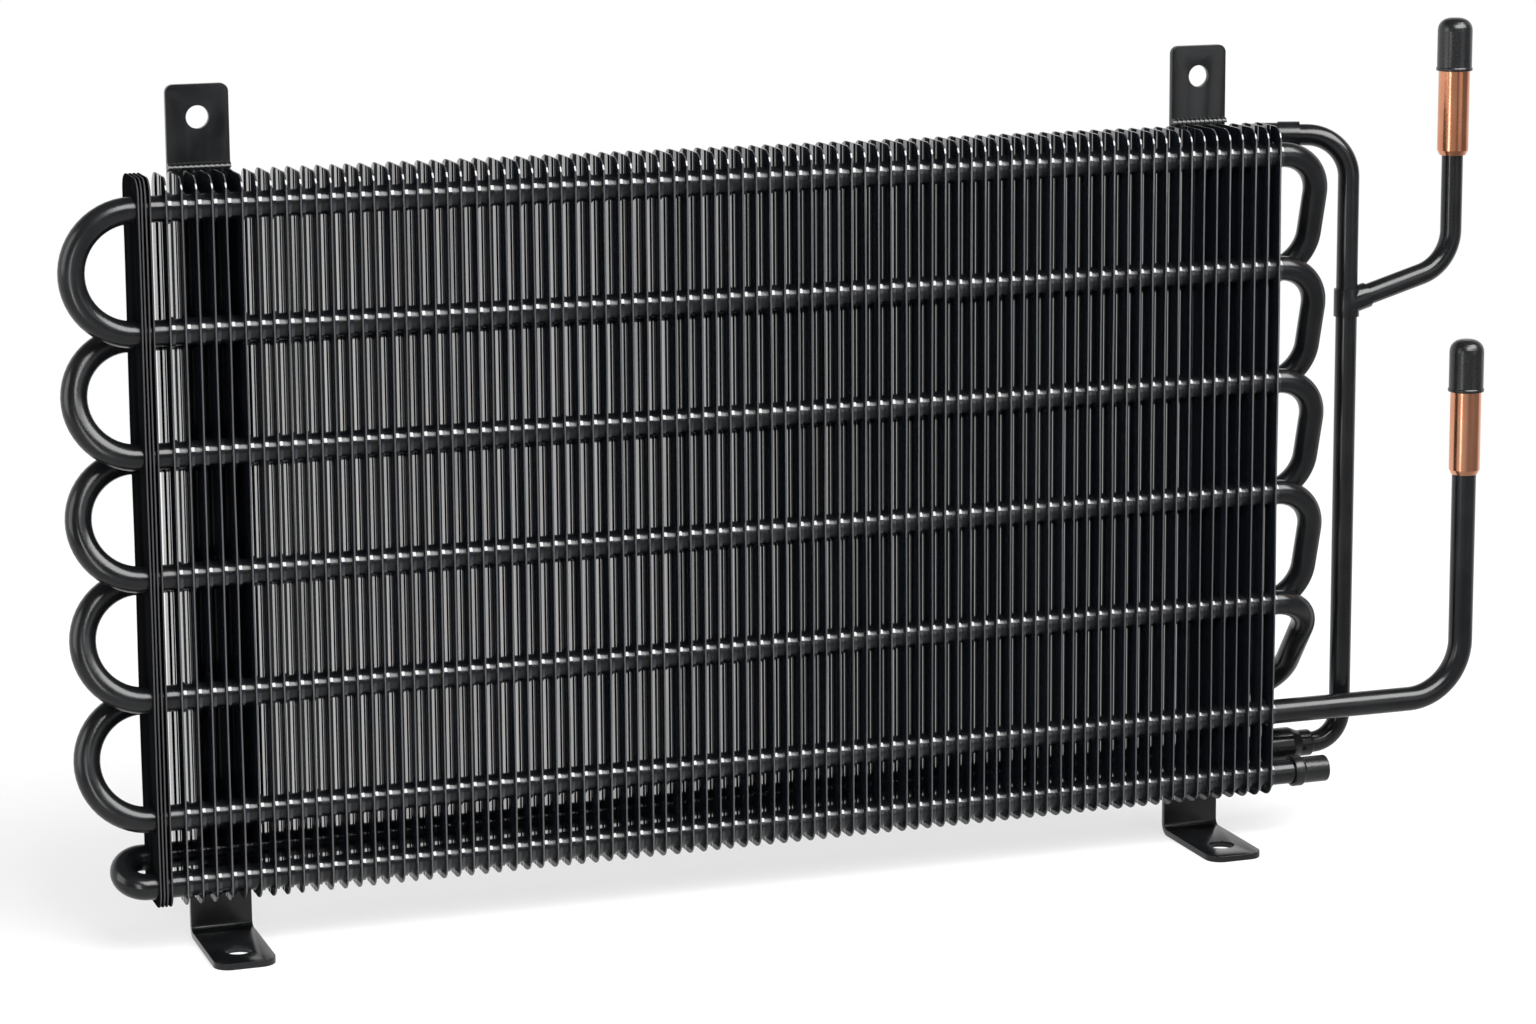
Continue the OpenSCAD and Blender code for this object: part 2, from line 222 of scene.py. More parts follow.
class ShaderSheet(NodeSheet):
    """Lays out the nodes of one procedural material."""

    # Middle of a noise that is mapped onto a range, and onto two colours
    SPREAD_SPAN: Pair = (0.3, 0.7)
    TINT_SPAN: Pair = (0.35, 0.65)

    def __init__(self, name: str) -> None:
        """Starts an empty material.

        Args:
            name: Name of the material.
        """
        self.material = bpy.data.materials.new(name)
        self.material.use_nodes = True
        super().__init__(self.material.node_tree)
        self.surface = self.add("ShaderNodeBsdfPrincipled")
        self.output = self.add("ShaderNodeOutputMaterial")
        self.feed(self.output, "Surface", self.surface.outputs["BSDF"])

    def place(self, stretch: Point = (1.0, 1.0, 1.0)) -> bpy.types.NodeSocket:
        """Gives object coordinates, scaled along each axis.

        Args:
            stretch: Scale along X, Y and Z.

        Returns:
            The vector output.
        """
        coordinate = self.add("ShaderNodeTexCoord")
        mapping = self.add("ShaderNodeMapping")
        self.feed(mapping, "Vector", coordinate.outputs["Object"])
        mapping.inputs["Scale"].default_value = stretch
        return mapping.outputs["Vector"]

    def mark(self, name: str) -> bpy.types.NodeSocket:
        """Gives the value of a mark on the vertices."""
        return self.add("ShaderNodeAttribute", attribute_name=name).outputs["Fac"]

    def noise(self, stretch: Point, detail: float = 2.0) -> bpy.types.NodeSocket:
        """Makes a noise whose grain follows the stretch.

        Args:
            stretch: Grains per metre along X, Y and Z.
            detail: Number of finer layers.

        Returns:
            The noise value, from 0 to 1.
        """
        noise = self.add("ShaderNodeTexNoise")
        self.feed(noise, "Vector", self.place(stretch))
        self.feed(noise, "Scale", 1.0)
        self.feed(noise, "Detail", detail)
        return noise.outputs["Fac"]

    def spread(self, value: bpy.types.NodeSocket, low: float, high: float) -> bpy.types.NodeSocket:
        """Maps the middle of a noise onto a range."""
        return self.remap(value, self.SPREAD_SPAN, (low, high))

    def tint(self, value: bpy.types.NodeSocket, low: Colour, high: Colour) -> bpy.types.NodeSocket:
        """Mixes two colours by a noise.

        Args:
            value: Noise value.
            low: Colour at the noise's low end.
            high: Colour at the noise's high end.

        Returns:
            The colour.
        """
        ramp = self.add("ShaderNodeValToRGB")
        self.feed(ramp, "Fac", value)
        for stop, position, colour in zip(ramp.color_ramp.elements, self.TINT_SPAN, (low, high)):
            stop.position = position
            stop.color = (*colour, 1.0)
        return ramp.outputs["Color"]

    def relief(self, heights: Sequence[tuple[bpy.types.NodeSocket, float]]) -> None:
        """Stacks bumps on the surface.

        Args:
            heights: Pairs of height value and depth in metres.
        """
        normal = None
        for height, depth in heights:
            bump = self.add("ShaderNodeBump")
            self.feed(bump, "Height", height)
            self.feed(bump, "Strength", 1.0)
            self.feed(bump, "Distance", depth)
            if normal is not None:
                self.feed(bump, "Normal", normal)
            normal = bump.outputs["Normal"]
        self.feed(self.surface, "Normal", normal)


@dataclass(frozen=True)
class PaintFinish:
    """Black stoved paint on tube, strap and weld."""

    name: str = "stoved_black_paint"
    dark: Colour = (0.0034, 0.0037, 0.0042)
    light: Colour = (0.0054, 0.0058, 0.0065)
    gloss_low: float = 0.17
    gloss_high: float = 0.27
    mirror: float = 0.42
    peel_per_m: float = 1100.0
    peel_depth: float = 0.008 * MM
    sag_per_m: float = 90.0
    sag_depth: float = 0.06 * MM

    def material(self) -> bpy.types.Material:
        """Builds the paint with its orange peel and slow waves.

        Returns:
            The new material.
        """
        sheet = ShaderSheet(self.name)
        peel = sheet.noise((self.peel_per_m,) * 3)
        sag = sheet.noise((self.sag_per_m,) * 3)
        sheet.feed(sheet.surface, "Base Color", sheet.tint(sag, self.dark, self.light))
        sheet.feed(sheet.surface, "Roughness", sheet.spread(sag, self.gloss_low, self.gloss_high))
        sheet.surface.inputs["Specular IOR Level"].default_value = self.mirror
        sheet.relief([(sag, self.sag_depth), (peel, self.peel_depth)])
        return sheet.material


@dataclass(frozen=True)
class FinFinish:
    """Thin gloss paint on fin stock that is waved along the tube rows."""

    name: str = "fin_black_paint"
    dark: Colour = (0.0036, 0.0047, 0.0063)
    light: Colour = (0.0078, 0.0100, 0.0133)
    # Lighter grey on the rims: a painted highlight along the fins' edges
    edge: Colour = (0.040, 0.040, 0.043)
    gloss_low: float = 0.05
    gloss_high: float = 0.12
    mirror: float = 1.0
    streak_across_per_m: float = 300.0
    streak_along_per_m: float = 4.0
    streak_detail: float = 4.0
    dapple_across_per_m: float = 60.0
    dapple_along_per_m: float = 15.0
    dapple_depth: float = 0.12 * MM
    wave_end: float = 26.0 * MM
    wave_depth: float = 3.0 * MM
    # Pairs of place along Y in metres, and height as a share of the depth
    wave: tuple[Pair, ...] = (
        (1.5 * MM, 0.0),
        (9.0 * MM, 0.50),
        (9.6 * MM, 0.46),
        (11.8 * MM, 0.61),
        (14.8 * MM, 0.34),
        (19.2 * MM, 0.73),
        (24.0 * MM, 0.34),
    )

    def material(self) -> bpy.types.Material:
        """Builds the paint with its streaks and waves, and a lighter grey on its rims that is a painted
        highlight on the fins' edges.

        Returns:
            The new material.
        """
        sheet = ShaderSheet(self.name)
        across, along = self.streak_across_per_m, self.streak_along_per_m
        streak = sheet.noise((across, across, along), self.streak_detail)
        across, along = self.dapple_across_per_m, self.dapple_along_per_m
        dapple = sheet.noise((across, across, along))
        # The rim mark mixes in the lighter grey, a painted highlight on the fins' edges
        paint = sheet.add("ShaderNodeMixRGB")
        sheet.feed(paint, "Fac", sheet.mark(RIM))
        sheet.feed(paint, "Color1", sheet.tint(streak, self.dark, self.light))
        paint.inputs["Color2"].default_value = (*self.edge, 1.0)
        sheet.feed(sheet.surface, "Base Color", paint.outputs["Color"])
        sheet.feed(sheet.surface, "Roughness", sheet.spread(streak, self.gloss_low, self.gloss_high))
        sheet.surface.inputs["Specular IOR Level"].default_value = self.mirror
        sheet.relief([(self._wave(sheet), self.wave_depth), (dapple, self.dapple_depth)])
        return sheet.material

    def _wave(self, sheet: ShaderSheet) -> bpy.types.NodeSocket:
        """Gives the height of the pressed waves, from the front edge to the back.

        Args:
            sheet: Sheet of the paint.

        Returns:
            The height, as a share of the depth.
        """
        parts = sheet.add("ShaderNodeSeparateXYZ")
        sheet.feed(parts, 0, sheet.place((1 / self.wave_end,) * 3))
        ramp = sheet.add("ShaderNodeValToRGB")
        sheet.feed(ramp, "Fac", parts.outputs["Y"])
        stops = ramp.color_ramp.elements
        for place, _ in self.wave[1:-1]:
            stops.new(place / self.wave_end)
        for stop, (place, height) in zip(stops, self.wave):
            stop.position = place / self.wave_end
            stop.color = (height, height, height, 1.0)
        return sheet.combine("MULTIPLY", ramp.outputs["Color"], sheet.mark(PRESSED))


@dataclass(frozen=True)
class EndFinFinish(FinFinish):
    """Matt paint on the plain fins at the left end."""

    name: str = "end_fin_black_paint"
    dark: Colour = (0.0035, 0.0038, 0.0043)
    light: Colour = (0.0060, 0.0064, 0.0070)
    gloss_low: float = 0.45
    gloss_high: float = 0.60
    mirror: float = 0.0


@dataclass(frozen=True)
class CopperFinish:
    """Bare drawn copper with lines along the tube."""

    name: str = "drawn_copper"
    dark: Colour = (0.60, 0.25, 0.14)
    light: Colour = (0.76, 0.36, 0.22)
    gloss_low: float = 0.16
    gloss_high: float = 0.26
    line_across_per_m: float = 2600.0
    line_along_per_m: float = 40.0
    line_detail: float = 3.0
    line_depth: float = 0.006 * MM
    cloud_per_m: float = 45.0

    def material(self) -> bpy.types.Material:
        """Builds the metal with its draw lines and a faint tarnish.

        Returns:
            The new material.
        """
        sheet = ShaderSheet(self.name)
        across, along = self.line_across_per_m, self.line_along_per_m
        line = sheet.noise((across, across, along), self.line_detail)
        cloud = sheet.noise((self.cloud_per_m,) * 3)
        sheet.feed(sheet.surface, "Base Color", sheet.tint(cloud, self.dark, self.light))
        sheet.feed(sheet.surface, "Roughness", sheet.spread(line, self.gloss_low, self.gloss_high))
        sheet.surface.inputs["Metallic"].default_value = 1.0
        sheet.relief([(line, self.line_depth)])
        return sheet.material


@dataclass(frozen=True)
class CapFinish:
    """Satin black plastic of the push-on caps."""

    name: str = "satin_cap_plastic"
    dark: Colour = (0.0040, 0.0043, 0.0048)
    light: Colour = (0.0064, 0.0068, 0.0075)
    gloss_low: float = 0.24
    gloss_high: float = 0.32
    grain_per_m: float = 2600.0
    grain_depth: float = 0.015 * MM

    def material(self) -> bpy.types.Material:
        """Builds the plastic with its fine moulded grain.

        Returns:
            The new material.
        """
        sheet = ShaderSheet(self.name)
        grain = sheet.noise((self.grain_per_m,) * 3)
        sheet.feed(sheet.surface, "Base Color", sheet.tint(grain, self.dark, self.light))
        sheet.feed(sheet.surface, "Roughness", sheet.spread(grain, self.gloss_low, self.gloss_high))
        sheet.relief([(grain, self.grain_depth)])
        return sheet.material


@dataclass(frozen=True)
class FloorFinish:
    """Plain white studio floor that keeps a soft shadow near the coil."""

    name: str = "studio_floor"
    colour: Colour = (0.84, 0.84, 0.84)
    mottle_per_m: float = 3.0
    mottle_dull: float = 0.985
    roughness: float = 0.9
    mirror: float = 0.0
    near_white: float = 0.62
    near_m: float = 0.30
    far_m: float = 1.10
    gloss_left: float = 0.6
    gloss_right: float = 0.25
    left_m: float = -0.10
    right_m: float = 0.20
    front_m: float = -0.15
    back_m: float = 0.15

    def material(self) -> bpy.types.Material:
        """Builds a matt floor that turns to plain white away from the coil.

        Returns:
            The new material.
        """
        sheet = ShaderSheet(self.name)
        mottle = sheet.noise((self.mottle_per_m,) * 3)
        dull = tuple(self.mottle_dull * part for part in self.colour)
        sheet.feed(sheet.surface, "Base Color", sheet.tint(mottle, dull, self.colour))
        sheet.surface.inputs["Roughness"].default_value = self.roughness
        sheet.surface.inputs["Specular IOR Level"].default_value = self.mirror
        glossy = sheet.rays(Ray.GLOSSY)
        white = sheet.add("ShaderNodeEmission")
        sheet.feed(white, "Strength", sheet.remap(glossy, UNIT, (1.0, self._gloss(sheet))))
        seen = sheet.rays(Ray.CAMERA, Ray.GLOSSY, Ray.TRANSMISSION)
        share = sheet.combine("MULTIPLY", seen, self._share(sheet))
        whole = sheet.combine("MAXIMUM", share, glossy)
        shown = sheet.blend(whole, sheet.surface.outputs["BSDF"], white.outputs["Emission"])
        sheet.feed(sheet.output, "Surface", shown)
        return sheet.material

    def _gloss(self, sheet: ShaderSheet) -> bpy.types.NodeSocket:
        """Grades the floor in gloss: white behind, dimmer to the right in front.

        Args:
            sheet: Sheet of the floor.

        Returns:
            The strength of white that gloss shows.
        """
        parts = sheet.add("ShaderNodeSeparateXYZ")
        sheet.feed(parts, 0, sheet.place())
        levels = (self.gloss_left, self.gloss_right)
        front = sheet.remap(parts.outputs["X"], (self.left_m, self.right_m), levels, smooth=True)
        return sheet.remap(parts.outputs["Y"], (self.front_m, self.back_m), (front, 1.0), smooth=True)

    def _share(self, sheet: ShaderSheet) -> bpy.types.NodeSocket:
        """Grades the plain white by the distance from the coil.

        Args:
            sheet: Sheet of the floor.

        Returns:
            The share of plain white.
        """
        distance = sheet.add("ShaderNodeVectorMath", operation="LENGTH")
        sheet.feed(distance, 0, sheet.place())
        reach = (self.near_m, self.far_m)
        return sheet.remap(distance.outputs["Value"], reach, (self.near_white, 1.0), smooth=True)


@dataclass
class Palette:
    """The finishes of the coil, each made once."""

    paint: bpy.types.Material = field(init=False)
    fins: bpy.types.Material = field(init=False)
    end_fins: bpy.types.Material = field(init=False)
    copper: bpy.types.Material = field(init=False)
    cap: bpy.types.Material = field(init=False)

    def __post_init__(self) -> None:
        """Makes the materials."""
        self.paint = PaintFinish().material()
        self.fins = FinFinish().material()
        self.end_fins = EndFinFinish().material()
        self.copper = CopperFinish().material()
        self.cap = CapFinish().material()

    def of(self, slot: Slot) -> bpy.types.Material:
        """Gives the material of a record slot.

        Args:
            slot: Material slot.

        Returns:
            The material.
        """
        return {
            Slot.PAINT: self.paint,
            Slot.FINS: self.fins,
            Slot.COPPER: self.copper,
            Slot.CAP: self.cap,
        }[slot]


@dataclass
class Workshop:
    """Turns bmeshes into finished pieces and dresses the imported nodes."""

    nodes: dict[str, bpy.types.Object]
    palette: Palette
    smooth_deg: float = 35.0
    turn_steps: int = 56
    turn_round_steps: int = 4
    flat_deg: float = 1.0
    sharp_deg: float = 40.0
    edge_round_steps: int = 3

    def dress(self, names: Sequence[str], slot: Slot) -> None:
        """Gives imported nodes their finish.

        Args:
            names: Node names.
            slot: Material slot.
        """
        for name in names:
            for holder in self.nodes[name].material_slots:
                holder.material = self.palette.of(slot)
            LOG.info("dressed %s in %s", name, slot.value)

    def piece(
        self,
        name: str,
        mesh: bmesh.types.BMesh,
        slot: Slot,
        stands_for: Sequence[str],
        finish: bpy.types.Material | None = None,
    ) -> None:
        """Makes a piece from a bmesh and seats it on the body.

        Args:
            name: Name of the piece.
            mesh: Its geometry, in row coordinates. It is freed.
            slot: Material slot.
            stands_for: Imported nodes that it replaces.
            finish: Its material, where it isn't the slot's own.
        """
        limit = math.radians(self.smooth_deg)
        for edge in mesh.edges:
            edge.smooth = edge.is_manifold and edge.calc_face_angle() < limit
        for face in mesh.faces:
            face.smooth = True
        data = bpy.data.meshes.new(name)
        mesh.to_mesh(data)
        mesh.free()
        piece = bpy.data.objects.new(name, data)
        bpy.context.scene.collection.objects.link(piece)
        data.materials.append(finish or self.palette.of(slot))
        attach(piece, BODY)
        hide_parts(*stands_for)
        LOG.info("made %s with %d faces", name, len(data.polygons))

    def turned(
        self,
        profile: Sequence[Pair],
        round_by: float,
        foot: Point,
        axis: Axis,
        closed: bool = False,
    ) -> bmesh.types.BMesh:
        """Turns a profile on a lathe.

        Args:
            profile: Pairs of radius and height along the axis, in metres.
            round_by: Radius that softens the profile's corners.
            foot: Point where the axis starts.
            axis: Row axis that the piece stands on.
            closed: Whether the profile runs back to its first point.

        Returns:
            The closed turned mesh.
        """
        mesh = bmesh.new()
        points = [mesh.verts.new((radius, 0.0, height)) for radius, height in profile]
        for low, high in zip(points, points[1:]):
            mesh.edges.new((low, high))
        if closed:
            mesh.edges.new((points[-1], points[0]))
        bmesh.ops.bevel(
            mesh,
            geom=points if closed else points[1:-1],
            offset=round_by,
            affect="VERTICES",
            segments=self.turn_round_steps,
            profile=0.5,
            material=-1,
            clamp_overlap=True,
        )
        bmesh.ops.spin(
            mesh,
            geom=mesh.verts[:] + mesh.edges[:],
            cent=(0.0, 0.0, 0.0),
            axis=Axis.Z.value,
            angle=math.tau,
            steps=self.turn_steps,
            use_merge=True,
        )
        bmesh.ops.remove_doubles(mesh, verts=mesh.verts[:], dist=SAME_POLE)
        bmesh.ops.recalc_face_normals(mesh, faces=mesh.faces[:])
        turn = Vector(Axis.Z.value).rotation_difference(Vector(axis.value)).to_matrix().to_4x4()
        bmesh.ops.transform(mesh, matrix=Matrix.Translation(foot) @ turn, verts=mesh.verts[:])
        return mesh

    def softened(self, node: str, edge_round: float) -> bmesh.types.BMesh:
        """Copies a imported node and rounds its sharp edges.

        Args:
            node: Node name.
            edge_round: Radius on the edges.

        Returns:
            The rounded mesh.
        """
        mesh = bmesh.new()
        mesh.from_mesh(self.nodes[node].data)
        bmesh.ops.remove_doubles(mesh, verts=mesh.verts[:], dist=SAME_POINT)
        flat = math.radians(self.flat_deg)
        bmesh.ops.dissolve_limit(mesh, angle_limit=flat, verts=mesh.verts[:], edges=mesh.edges[:])
        limit = math.radians(self.sharp_deg)
        sharp = [edge for edge in mesh.edges if edge.is_manifold and edge.calc_face_angle() > limit]
        bmesh.ops.bevel(
            mesh,
            geom=sharp,
            offset=edge_round,
            affect="EDGES",
            segments=self.edge_round_steps,
            profile=0.5,
            material=-1,
            clamp_overlap=True,
        )
        return mesh


@dataclass(frozen=True)
class EdgeBend:
    """How far one free edge of a fin stands out of true."""

    lean: float
    ripple: float
    rad_per_m: float
    phase: float

    def at(self, height: float) -> float:
        """Gives the shift along X at a height."""
        return self.lean + self.ripple * math.sin(self.rad_per_m * height + self.phase)


@dataclass
class FinPack:
    """Thin fins on the tubes, each a little out of true."""

    shop: Workshop
    collared: int = 82
    pitch: float = 4.45 * MM
    plain: int = 4
    plain_pitch: float = 1.2 * MM
    thickness: float = 0.5 * MM
    corner: float = 5.0 * MM
    corner_steps: int = 5
    edge_cuts: int = 11
    rim_inset: float = 0.08 * MM
    rim_drop: float = 0.08 * MM
    collar_height: float = 1.4 * MM
    collar_wall: float = 0.5 * MM
    flare: float = 0.45 * MM
    hole_play: float = 0.05 * MM
    hole_steps: int = 12
    fold: float = 0.8 * MM
    lean: float = 0.22 * MM
    ripple: float = 0.12 * MM
    ripple_rad_per_m: Pair = (40.0, 90.0)
    drift: float = 0.12 * MM
    seed: int = 41
    groups: tuple[tuple[str, int], ...] = (("fins_left", 28), ("fins_middle", 27), ("fins_right", 27))
    slanted: tuple[str, ...] = ("hairpin_2", "hairpin_3", "hairpin_4", "hairpin_5", "low_hairpin")
    low: Vector = field(init=False)
    high: Vector = field(init=False)
    tube_r: float = field(init=False)
    holes: list[Pair] = field(init=False)
    front_row: float = field(init=False)
    back_row: float = field(init=False)

    def build(self) -> None:
        """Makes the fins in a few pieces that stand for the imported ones."""
        self._measure()
        chance = random.Random(self.seed)
        first = self.high.x - self.collar_height - self.thickness - (self.collared - 1) * self.pitch
        collared = self._fin(True)
        count = 0
        for name, share in self.groups:
            places = [
                first + n * self.pitch + chance.uniform(-1, 1) * self.drift
                for n in range(count, count + share)
            ]
            self._row(name, collared, places, chance)
            count += share
        plain = self._fin(False)
        places = [self.low.x + n * self.plain_pitch for n in range(self.plain)]
        self._row("end_fins", plain, places, chance, self.shop.palette.end_fins)
        self.shop.dress(["fin_pack"], Slot.FINS)

    def _measure(self) -> None:
        """Finds the fins' box, and where the tubes pass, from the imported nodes."""
        self.low, self.high = (Vector(corner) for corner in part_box("fin_pack"))
        low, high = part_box("hairpin_1")
        self.tube_r = (high[1] - low[1]) / 2
        front = low[1] + self.tube_r
        self.holes = [(front, high[2] - self.tube_r), (front, low[2] + self.tube_r)]
        for name in self.slanted:
            low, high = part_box(name)
            self.holes.append((high[1] - self.tube_r, high[2] - self.tube_r))
            self.holes.append((low[1] + self.tube_r, low[2] + self.tube_r))
        self.front_row = min(depth for depth, _ in self.holes)
        self.back_row = max(depth for depth, _ in self.holes)

    def _fin(self, collars: bool) -> bpy.types.Mesh:
        """Makes one fin with its left face at the origin.

        Args:
            collars: Whether a drawn collar stands round each hole.

        Returns:
            The fin's mesh.
        """
        mesh = bmesh.new()
        rim_mark = mesh.verts.layers.float.new(RIM)
        pressed_mark = mesh.verts.layers.float.new(PRESSED)
        hole_r = (self.tube_r + self.hole_play) / math.cos(math.pi / self.hole_steps)
        foot_r = hole_r + self.collar_wall + self.flare if collars else hole_r
        left_rim, left_side = self._face(mesh, 0.0, self.rim_drop)
        right_rim, right_side = self._face(mesh, self.thickness, self.thickness - self.rim_drop)
        bmesh.ops.bridge_loops(mesh, edges=left_rim + right_rim)
        rims = {vert for edge in left_rim + right_rim for vert in edge.verts}
        left_holes = [self._ring(mesh, hole, 0.0, hole_r) for hole in self.holes]
        right_holes = [self._ring(mesh, hole, self.thickness, foot_r) for hole in self.holes]
        self._fill(mesh, left_side, left_holes, -1.0)
        self._fill(mesh, right_side, right_holes, 1.0)
        for hole, inner, outer in zip(self.holes, left_holes, right_holes):
            collar = self._collar(mesh, hole, hole_r) if collars else []
            rings = [outer, *collar, inner]
            for near, far in zip(rings, rings[1:]):
                for n in range(self.hole_steps):
                    mesh.faces.new((near[n - 1], near[n], far[n], far[n - 1]))
        bmesh.ops.recalc_face_normals(mesh, faces=mesh.faces[:])
        flat_end = self.thickness + self.flare / 2
        # The rim mark also chooses where the fins' paint shows its painted edge highlight
        for vert in mesh.verts:
            on_rim = vert in rims
            vert[rim_mark] = 1.0 if on_rim else 0.0
            vert[pressed_mark] = 0.0 if on_rim or vert.co.x > flat_end else 1.0
        self._crease(mesh)
        data = bpy.data.meshes.new("one_fin")
        mesh.to_mesh(data)
        mesh.free()
        return data

    def _face(self, mesh: bmesh.types.BMesh, face_x: float, rim_x: float) -> tuple[Edges, Edges]:
        """Adds the outline of one side of a fin.

        Args:
            mesh: Mesh to add to.
            face_x: Place of the flat side.
            rim_x: Place of the outermost edge.

        Returns:
            Edges of the outermost loop and edges of the flat side's loop.
        """
        middle = (self.low + self.high) / 2
        half_y, half_z = (self.high.y - self.low.y) / 2, (self.high.z - self.low.z) / 2
        stand = Matrix.Translation((rim_x, middle.y, middle.z)) @ Matrix.Rotation(math.pi / 2, 4, "Y")
        before = set(mesh.faces)
        corners = bmesh.ops.create_grid(mesh, x_segments=1, y_segments=1, size=1.0)["verts"]
        bmesh.ops.scale(mesh, vec=(half_z, half_y, 1.0), verts=corners)
        bmesh.ops.transform(mesh, matrix=stand, verts=corners)
        bmesh.ops.bevel(
            mesh,
            geom=corners,
            offset=self.corner,
            affect="VERTICES",
            segments=self.corner_steps,
            profile=0.5,
            material=-1,
        )
        face = next(side for side in mesh.faces if side not in before)
        tall = [edge for edge in face.edges if edge.calc_length() > half_z]
        bmesh.ops.bisect_edges(mesh, edges=tall, cuts=self.edge_cuts)
        border = bmesh.ops.inset_region(
            mesh, faces=[face], thickness=self.rim_inset, use_even_offset=True, use_boundary=True
        )["faces"]
        outer = [edge for side in border for edge in side.edges if edge.is_boundary]
        flat = face.edges[:]
        for vert in face.verts:
            vert.co.x = face_x
        bmesh.ops.delete(mesh, geom=[face], context="FACES_ONLY")
        return outer, flat

    def _ring(self, mesh: bmesh.types.BMesh, hole: Pair, x: float, radius: float) -> Ring:
        """Adds a ring of vertices and edges round a tube.

        Args:
            mesh: Mesh to add to.
            hole: Depth and height of the tube, as y and z.
            x: Place along the tube.
            radius: Radius of the ring.

        Returns:
            The ring's vertices, in order.
        """
        stand = Matrix.Translation((x, *hole)) @ Matrix.Rotation(math.pi / 2, 4, "Y")
        return bmesh.ops.create_circle(mesh, segments=self.hole_steps, radius=radius, matrix=stand)["verts"]

    def _fill(self, mesh: bmesh.types.BMesh, side: Edges, rings: Sequence[Ring], facing: float) -> None:
        """Fills one flat side of a fin round its holes.

        Args:
            mesh: Mesh of the fin.
            side: Edges of the side's loop.
            rings: Rings round the tubes.
            facing: 1 for the right side, -1 for the left one.
        """
        pairs = [(ring[n - 1], ring[n]) for ring in rings for n in range(self.hole_steps)]
        edges = side + [mesh.edges.get(pair) for pair in pairs]
        bmesh.ops.triangle_fill(mesh, use_beauty=True, edges=edges, normal=(facing, 0.0, 0.0))

    def _collar(self, mesh: bmesh.types.BMesh, hole: Pair, hole_r: float) -> list[Ring]:
        """Adds the rings of a drawn collar, from its flared foot to its mouth.

        Args:
            mesh: Mesh of the fin.
            hole: Depth and height of the tube, as y and z.
            hole_r: Radius of the hole.

        Returns:
            The rings, in order.
        """
        wall_r = hole_r + self.collar_wall
        head = self.thickness + self.collar_height
        return [
            self._ring(mesh, hole, self.thickness + self.flare, wall_r),
            self._ring(mesh, hole, head, wall_r),
            self._ring(mesh, hole, head, hole_r),
        ]

    def _crease(self, mesh: bmesh.types.BMesh) -> None:
        """Cuts a fin along the lines where its free edges may bend.

        Args:
            mesh: Mesh of the fin.
        """
        inner_front, inner_back = self.front_row + self.fold, self.back_row - self.fold
        for line in (self.front_row, inner_front, inner_back, self.back_row):
            bmesh.ops.bisect_plane(
                mesh,
                geom=mesh.verts[:] + mesh.edges[:] + mesh.faces[:],
                dist=SAME_POINT,
                plane_co=(0.0, line, 0.0),
                plane_no=Axis.Y.value,
            )

    def _row(
        self,
        name: str,
        fin: bpy.types.Mesh,
        places: Sequence[float],
        chance: random.Random,
        finish: bpy.types.Material | None = None,
    ) -> None:
        """Sets a row of fins and makes them one piece.

        Args:
            name: Name of the piece.
            fin: One fin.
            places: Left face of each fin.
            chance: Source of the small bends.
            finish: Material of the row, where it isn't the fins' own.
        """
        mesh = bmesh.new()
        for place in places:
            count = len(mesh.verts)
            mesh.from_mesh(fin)
            mesh.verts.ensure_lookup_table()
            self._bend(mesh.verts[count:], place, chance)
        self.shop.piece(name, mesh, Slot.FINS, ["fin_pack"], finish)

    def _bend(self, verts: Sequence[bmesh.types.BMVert], place: float, chance: random.Random) -> None:
        """Moves a fin to its place and bends its free edges a little.

        Args:
            verts: Vertices of the fin.
            place: Left face of the fin.
            chance: Source of the bends.
        """
        front_bend = self._edge_bend(chance)
        back_bend = self._edge_bend(chance)
        for vert in verts:
            front = max(0.0, (self.front_row - vert.co.y) / (self.front_row - self.low.y))
            back = max(0.0, (vert.co.y - self.back_row) / (self.high.y - self.back_row))
            height = vert.co.z
            vert.co.x += place + front * front_bend.at(height) + back * back_bend.at(height)

    def _edge_bend(self, chance: random.Random) -> EdgeBend:
        """Draws the bend of one free edge.

        Args:
            chance: Source of the bend.

        Returns:
            The bend.
        """
        return EdgeBend(
            lean=chance.uniform(-1, 1) * self.lean,
            ripple=chance.uniform(-1, 1) * self.ripple,
            rad_per_m=chance.uniform(*self.ripple_rad_per_m),
            phase=chance.uniform(0, math.tau),
        )


